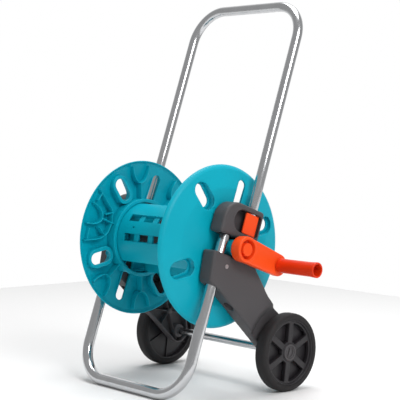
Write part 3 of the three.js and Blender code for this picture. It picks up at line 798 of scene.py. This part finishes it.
def nested_ribs(middle):
    """The larger U round a scallop, with the short ribs between the two and at the rim."""
    corners = [(150, -20), (122, -17.5), (97, -14), (86, 0), (92, 15), (109, 21), (126, 22), (150, 22)]
    spots = [polar(radius, middle + turn) for radius, turn in corners]
    outer = fillet(spots, [0, 20, 16, 30, 16, 12, 20, 0], 6, closed=False)
    ribs = [(outer, 2.0)]
    short = [((94, -13), (109, -5)), ((99, 17.5), (114, 10))]
    short += [((140, 12), (143, 21)), ((141, -12), (141, -19))]
    for start, end in short:
        ends = [polar(radius, middle + turn) for radius, turn in (start, end)]
        ribs.append(([ends[0] + (ends[1] - ends[0]) * t for t in np.linspace(0, 1, 5)], 1.8))
    return ribs


def ring_web(radius, thick):
    """A round web, open where the long slots cross it."""
    loops = [slot_outline(slot, turn, slot[4], slot[5]) for slot, turn in ALL_SLOTS]
    pieces, run = [], []
    start = 68.5
    for i in range(181):
        p = polar(radius, start + 2 * i)
        blocked = min(outline_distance(loop, p[:1], p[1:])[0] for loop in loops) < 1.0
        if blocked:
            if len(run) > 2:
                pieces.append((run, thick))
            run = []
        else:
            run.append(p)
    if len(run) > 2:
        pieces.append((run, thick))
    return pieces


def disc(hub_bore):
    """One disc of the drum: skin, rim, ribs, slots with their rims, bosses and hollow journal."""
    shape = disc_skin()
    shape.join(disc_rim())
    for path, thick in rib_paths() + ring_web(79.2, 2.4) + ring_web(69.8, 4.0):
        shape.join(wall(path, thick, RIB_X, under_x))
    for slot, turn in ALL_SLOTS:
        tub = slot_outline(slot, turn, slot[4] + TUB_WALL, slot[5] + TUB_WALL / 2)
        deep = RIB_X if slot[4] > slot[3] else LONG_SLOT_X
        shape.join(wall(tub, TUB_WALL, deep, lambda p: face_x(p) - 0.9, closed=True))
        if slot[4] > slot[3]:
            outline = slot_outline(slot, turn, slot[4] + 1, slot[5] + 0.5)
            hole = slot_outline(slot, turn, slot[3])
            shape.join(plate([outline, hole], 112.6, TUB_FLOOR, 0.9))
    shape.join(lathe([(73, 105), (80.4, 105), (80.4, 113), (73, 113)], (0, 0), 96, 0.7))
    for turn in BOSS_TURNS:
        ring = [(5, FACE_X - 1), (7, FACE_X - 1), (7, FACE_X + 0.7), (5, FACE_X + 0.7)]
        shape.join(lathe(ring, polar(79, turn), 36, 0.35))
    collar, journal, journal_end = 24.2, 16.5, 169
    hub = [(hub_bore, 120), (collar, 120), (collar, FACE_X - 1), (collar, FACE_X)]
    hub += [(journal, FACE_X), (journal, journal_end), (hub_bore, journal_end)]
    shape.join(lathe(hub, (0, 0), 64, [0.5, 0.5, 0, 0, 1.5, 0.5, 0.5]))
    return shape


make("crank_side_disc", disc(11), UPRIGHT, "drum", "teal_plastic", 1,
     replaces=["right_disc"], weld=0.01)
make("inlet_side_disc", disc(9.5), UPRIGHT, "drum", "teal_plastic", -1,
     replaces=["left_disc"], weld=0.01)


CORE_OUTER, CORE_INNER, CORE_END = 72, 69.5, 111.7
ROWS, ROW_HALF = (-17, 17), 6.4
WINDOWS, WINDOW_HALF = (-71, -29.5, 12, 53.5), 13.5
SLIT = {"turn": 1.2, "low": -64, "high": -58.5}


def in_window_row(turn):
    return any(abs(turn - row) < ROW_HALF for row in ROWS)


def core_opening(turn, x):
    """Whether a place on the core is open: the two rows and a small slit between them."""
    row_start, row_end = WINDOWS[0] - WINDOW_HALF, WINDOWS[-1] + WINDOW_HALF
    if in_window_row(turn) and row_start < x < row_end:
        return True
    return abs(turn) < SLIT["turn"] and SLIT["low"] < x < SLIT["high"]


def core_shell(middle):
    """A curved half of the core: a grid over angle and x that leaves its openings out."""
    limits = {row + s * ROW_HALF for row in ROWS for s in (-1, 1)} | {-SLIT["turn"], SLIT["turn"]}
    even = {round(t, 3) for t in np.linspace(-60, 60, 49)}
    turns = sorted(limits | {t for t in even if min(abs(t - limit) for limit in limits) > 0.6})
    xs = {-CORE_END, CORE_END, SLIT["low"], SLIT["high"]}
    xs = sorted(xs | {WINDOWS[0] - WINDOW_HALF, WINDOWS[-1] + WINDOW_HALF})
    across, count = len(xs), len(turns) * len(xs)
    shape, edges = Shape(), set()
    for radius, flip in ((CORE_OUTER, False), (CORE_INNER, True)):
        points = [(x, *polar(radius, middle + t)) for t in turns for x in xs]
        faces = []
        for i in range(len(turns) - 1):
            for j in range(across - 1):
                if core_opening((turns[i] + turns[i + 1]) / 2, (xs[j] + xs[j + 1]) / 2):
                    continue
                low, high = i * across + j, (i + 1) * across + j
                face = (low, low + 1, high + 1, high)
                faces.append(face if flip else face[::-1])
                if not flip:
                    ring = face[::-1]
                    edges |= {(ring[k], ring[(k + 1) % 4]) for k in range(4)}
        shape.add(points, faces)
    shape.faces += [(b, a, a + count, b + count) for a, b in edges if (b, a) not in edges]
    for edge in (-59, 59):
        turn = middle + edge
        shape.join(bar(polar(71, turn), polar(52, turn), 2.4, -CORE_END, CORE_END, 0.7))
    for row in ROWS:
        for sign in (-1, 1):
            turn = middle + row + sign * (ROW_HALF + 0.6)
            rail = (WINDOWS[0] - WINDOW_HALF, WINDOWS[-1] + WINDOW_HALF)
            shape.join(bar(polar(70.6, turn), polar(63, turn), 1.5, *rail, 0.4))
        for left, right in zip(WINDOWS, WINDOWS[1:]):
            low, high = (polar(67.2, middle + row + s * (ROW_HALF + 0.4)) for s in (-1, 1))
            shape.join(bar(low, high, 4, left + WINDOW_HALF, right - WINDOW_HALF, 0.5))
    return shape


for hand, middle in (("front", 158), ("rear", 338)):
    make(hand + "_core_half", core_shell(middle), UPRIGHT, "drum", "teal_plastic", 1,
         replaces=[hand + "_core_shell"])

# ---- Crank -----------------------------------------------------------------------------

CRANK_BACK, CRANK_FACE, HUB_RADIUS, TIP_RADIUS = 172, 195, 24.5, 21.5
RECESS_RADIUS, RECESS_DEPTH = 19, 14


def crank_distance(x, a, b):
    """The crank arm as a distance field, with the recess that holds its cap."""
    length = math.hypot(*CRANK_TIP)
    way = CRANK_TIP / length
    along = a[0] * way[0] + b[0] * way[1]
    off = -a[0] * way[1] + b[0] * way[0]
    # Distance from the outline round two circles and their common tangents.
    slant = (HUB_RADIUS - TIP_RADIUS) / length
    t = np.clip((along - np.abs(off) * slant) / length, 0, 1)
    flat = np.hypot(along - t * length, off) - (HUB_RADIUS + (TIP_RADIUS - HUB_RADIUS) * t)
    crown = CRANK_FACE - 2.6 * np.clip(along / length, 0, 1)
    arm = rounded_slab(flat[None], x, CRANK_BACK + 4, CRANK_FACE, 5.5)
    arm = smooth_max(arm, x - crown[None], 2)
    hub = rounded_slab((np.hypot(along, off) - HUB_RADIUS)[None], x, CRANK_BACK, CRANK_FACE, 2.2)
    body = smooth_min(arm, hub, 1.5)
    recess = np.maximum(np.hypot(a, b) - RECESS_RADIUS, CRANK_FACE - RECESS_DEPTH - x)
    return smooth_max(body, -recess, 1.2)


crank = netted(crank_distance, (CRANK_BACK, -25, -58), (CRANK_FACE, 113, 25), 1.0, keep=0.3)
crank.join(rod(10.7, 140, 173, edge=0.6, segments=40))
crank.join(lathe([(6, 190), (9, 190), (9, 262), (6, 262)], CRANK_TIP, 32, 0.4))
make("crank", crank, UPRIGHT, "drum", "orange_plastic", 1, replaces=["crank_arm"], sharp=60)
cap = lathe([(AXIS, 181.3), (12.5, 181.3), (12.5, 194.4), (AXIS, 194.9)], (0, 0), 64, [0, 0.4, 1.6, 0], 5)
make("crank_centre_cap", cap, UPRIGHT, "drum", "orange_plastic", 1, replaces=["crank_cap"])
seal = lathe([(17.3, 167.6), (20, 167.6), (20, 171.7), (17.3, 171.7)], (0, 0), 64, 0.9)
make("crank_seal", seal, UPRIGHT, "drum", "seal_rubber", 1, replaces=["crank_seal_ring"])

grip_profile = [(9.4, 195.5), (14.2, 195.5), (14.0, 203.5), (14.0, 240), (14.1, 272), (14.8, 284), (15, 290),
                (11.5, 290), (11.5, 201), (9.4, 200.5)]
grip_rounding = [0.3, 1.2, 3, 20, 12, 5, 1.3, 1.0, 0.5, 0.3]
# The grip takes the darker orange, which is painted shade on the arm's orange plastic.
make("grip", lathe(grip_profile, CRANK_TIP, 72, grip_rounding, 5), UPRIGHT, "grip", "orange_plastic", 1,
     replaces=["crank_grip"], other_material="grip_orange_painted_shade")
keeper_profile = [(AXIS, 248), (5.7, 248), (5.7, 262.3), (10.6, 262.3), (10.6, 264.5), (AXIS, 264.5)]
keeper = lathe(keeper_profile, CRANK_TIP, 40, [0, 0.4, 0.2, 0.4, 0.6, 0])
make("grip_keeper", keeper, UPRIGHT, "drum", "orange_plastic", 1, replaces=["grip_retainer"])

# ---- Bushes ----------------------------------------------------------------------------

for side, hand in ((1, "right"), (-1, "left")):
    bush = lathe([(16.8, 135), (19.7, 135), (19.7, 140.3), (16.8, 140.3)], (0, 0), 64, 0.5)
    make(hand + "_journal_bush", bush, LEANING, "frame", "black_bush", side, replaces=[hand + "_drum_bush"])

# ---- Wheels ----------------------------------------------------------------------------

RADIUS, WIDTH, WHEEL_OUT, TYRE = 77.95, 29, 192, 13
WHEEL_IN = WHEEL_OUT - WIDTH
RIM = RADIUS - TYRE


def tyre():
    """The tyre as a turned profile, with a groove beside the rim on its outer face."""
    profile = [(RIM + 0.3, WHEEL_IN), (70, WHEEL_IN), (75, WHEEL_IN + 1.5), (77.4, WHEEL_IN + 5.5)]
    profile += [(RADIUS, WHEEL_IN + 10), (RADIUS, WHEEL_OUT - 10), (77.4, WHEEL_OUT - 5)]
    profile += [(75.3, WHEEL_OUT - 1.6), (72.5, WHEEL_OUT), (67.2, WHEEL_OUT)]
    profile += [(66.2, WHEEL_OUT - 1.2), (RIM + 0.3, WHEEL_OUT - 1.4)]
    return lathe(profile, AXLE, 128, [0.3, 2, 4, 5, 5, 5, 5, 3, 2, 0.8, 0.5, 0.2], 3)


def sector(degrees, inner, outer, half_spoke, rounding):
    """The opening between two spokes, with rounded corners."""
    loop = []
    for radius, order in ((inner, 1), (outer, -1)):
        swing = math.degrees(math.asin(half_spoke / radius))
        a0, a1 = degrees + swing, degrees + 60 - swing
        steps = np.linspace(a0, a1, 12)[::order]
        loop += [polar(radius, t, AXLE) for t in steps]
    corner = {0, 11, 12, 23}
    radii = [rounding if i in corner else 0 for i in range(24)]
    return [tuple(p) for p in fillet(loop, radii, 4)]


def spoke(turn, inner, outer, thick, x0, x1, edge=0.8):
    """A straight rib of the wheel from one radius to another."""
    return bar(polar(inner, turn, AXLE), polar(outer, turn, AXLE), thick, x0, x1, edge)


def wheel_centre():
    """The spoked face with its rim, hub, back web and ribs."""
    lean_turn = math.degrees(math.atan2(UP.y, UP.z))
    first = 24.5 + lean_turn
    around = [tuple(polar(RIM - 1.2, 3 * i, AXLE)) for i in range(120)]
    openings = [sector(first + 60 * i, 21.5, RIM - 6.5, 6.2, 3.6) for i in range(6)]
    hub_hole = [tuple(polar(16.2, 9 * i, AXLE)) for i in range(40)]
    shape = plate([around, *openings, hub_hole], WHEEL_OUT - 15, WHEEL_OUT - 6, 1.3, 3)
    rim = [(RIM - 3.4, WHEEL_IN + 1), (RIM, WHEEL_IN + 1), (RIM, WHEEL_OUT - 2)]
    rim += [(RIM - 2.0, WHEEL_OUT - 2), (RIM - 3.4, WHEEL_OUT - 6)]
    shape.join(lathe(rim, AXLE, 96, 0.7))
    hub = [(8.5, WHEEL_IN + 0.4), (15, WHEEL_IN + 0.4), (17, WHEEL_OUT - 16), (19.5, WHEEL_OUT - 8)]
    hub += [(19.5, WHEEL_OUT - 6), (17.3, WHEEL_OUT - 5), (17.2, WHEEL_OUT - 9), (8.5, WHEEL_OUT - 9)]
    shape.join(lathe(hub, AXLE, 64, 0.6))
    web = [(16, WHEEL_OUT - 20), (RIM - 3, WHEEL_OUT - 20)]
    web += [(RIM - 3, WHEEL_OUT - 17.2), (16, WHEEL_OUT - 17.2)]
    shape.join(lathe(web, AXLE, 96, 0.4))
    for i in range(6):
        turn = first + 60 * i
        shape.join(spoke(turn, 14, RIM - 2, 3, WHEEL_IN + 6, WHEEL_OUT - 18))
        shape.join(spoke(turn, 16, RIM - 2, 9, WHEEL_OUT - 18, WHEEL_OUT - 13))
    for i in range(36):
        turn = first + 5 + 10 * i
        shape.join(spoke(turn, RIM - 11, RIM - 2, 2, WHEEL_IN + 9, WHEEL_OUT - 19, 0.5))
    return shape


def wheel_cap():
    """The hub cap: a sunk disc with a raised bar, inside two turned steps."""
    face = WHEEL_OUT - 3
    profile = [(AXIS, face - 3.2), (9.6, face - 3.2), (9.6, face - 1.0), (11.2, face - 1.0)]
    profile += [(11.7, face - 1.9), (12.6, face - 1.9), (13.2, face), (16.4, face)]
    profile += [(17, WHEEL_OUT - 8.7), (14.6, WHEEL_OUT - 8.7), (14.6, face - 5), (AXIS, face - 5)]
    shape = lathe(profile, AXLE, 72, [0, 0.3, 0.6, 0.3, 0.3, 0.3, 0.4, 1.0, 0.2, 0.2, 0.2, 0])
    half_bar = np.array([0, 9.2])
    shape.join(bar(AXLE - half_bar, AXLE + half_bar, 4.2, face - 3.6, face - 0.9, 0.7))
    return shape


for side, hand in ((1, "right"), (-1, "left")):
    body = hand + "_wheel"
    make(hand + "_tyre_tread", tyre(), LEANING, body, "tyre_rubber", side, replaces=[hand + "_tyre"])
    make(hand + "_spokes", wheel_centre(), LEANING, body, "wheel_plastic", side,
         replaces=[hand + "_wheel_centre"])
    make(hand + "_hub_cap", wheel_cap(), LEANING, body, "grey_plastic", side,
         replaces=[hand + "_wheel_cap"])
    washer = lathe([(8.4, 154.9), (16, 154.9), (16, 163), (8.4, 163)], AXLE, 48, 0.6)
    make(hand + "_spacer", washer, LEANING, "frame", "black_bush", side, replaces=[hand + "_wheel_washer"])

# ---- Floor, light and camera -----------------------------------------------------------


BACKDROP = (-0.72, 0.69, 0)  # the direction the camera looks in


def studio():
    half = 1.5
    floor_mesh = bpy.data.meshes.new("floor")
    corners = [(-half, -half, 0), (half, -half, 0), (half, half, 0), (-half, half, 0)]
    floor_mesh.from_pydata(corners, [], [(0, 1, 2, 3)])
    floor = bpy.data.objects.new("floor", floor_mesh)
    bpy.context.scene.collection.objects.link(floor)
    paint = bpy.data.materials.new("floor_paint")
    paint.use_nodes = True
    shader = paint.node_tree.nodes["Principled BSDF"]
    shader.inputs["Base Color"].default_value = (0.85, 0.85, 0.85, 1)
    shader.inputs["Roughness"].default_value = 0.9
    shader.inputs["Specular IOR Level"].default_value = 0.0
    floor_mesh.materials.append(paint)

    # The room is white behind the cart and dimmer elsewhere.
    world = bpy.data.worlds.new("studio")
    bpy.context.scene.world = world
    world.use_nodes = True
    nodes, links = world.node_tree.nodes, world.node_tree.links
    background = nodes["Background"]
    background.inputs["Color"].default_value = (1, 1, 1, 1)
    place = nodes.new("ShaderNodeTexCoord")
    facing = nodes.new("ShaderNodeVectorMath")
    facing.operation = "DOT_PRODUCT"
    facing.inputs[1].default_value = BACKDROP
    level = nodes.new("ShaderNodeMapRange")
    for socket, value in (("From Min", 0.45), ("From Max", 0.9), ("To Min", 0.42), ("To Max", 1.0)):
        level.inputs[socket].default_value = value
    links.new(place.outputs["Generated"], facing.inputs[0])
    links.new(facing.outputs["Value"], level.inputs["Value"])
    links.new(level.outputs["Result"], background.inputs["Strength"])

    def lamp(name, place, aim, size, power):
        data = bpy.data.lights.new(name, "AREA")
        data.shape = "SQUARE"
        data.size = size
        data.energy = power
        lamp_object = bpy.data.objects.new(name, data)
        bpy.context.scene.collection.objects.link(lamp_object)
        lamp_object.location = place
        direction = Vector(aim) - Vector(place)
        lamp_object.rotation_euler = direction.to_track_quat("-Z", "Y").to_euler()

    lamp("key", (2.3, -0.5, 1.9), (0, 0, 0.35), 1.2, 40)
    lamp("top", (-0.2, 0.4, 3.0), (0, 0.1, 0.2), 1.8, 62)

    camera = bpy.data.objects.new("camera", bpy.data.cameras.new("camera"))
    bpy.context.scene.collection.objects.link(camera)
    camera.data.sensor_width = 36
    camera.data.lens = 105.29
    camera.data.clip_end = 40
    yaw, pitch, roll = (math.radians(v) for v in (46.286, 2.818, 1.486))
    aim = Matrix.Rotation(yaw, 4, "Z") @ Matrix.Rotation(PI / 2 - pitch, 4, "X")
    aim = aim @ Matrix.Rotation(roll, 4, "Z")
    camera.matrix_world = Matrix.Translation((1.67105, -1.61418, 0.48857)) @ aim
    bpy.context.scene.camera = camera
    bpy.context.scene.view_settings.view_transform = "Standard"


studio()
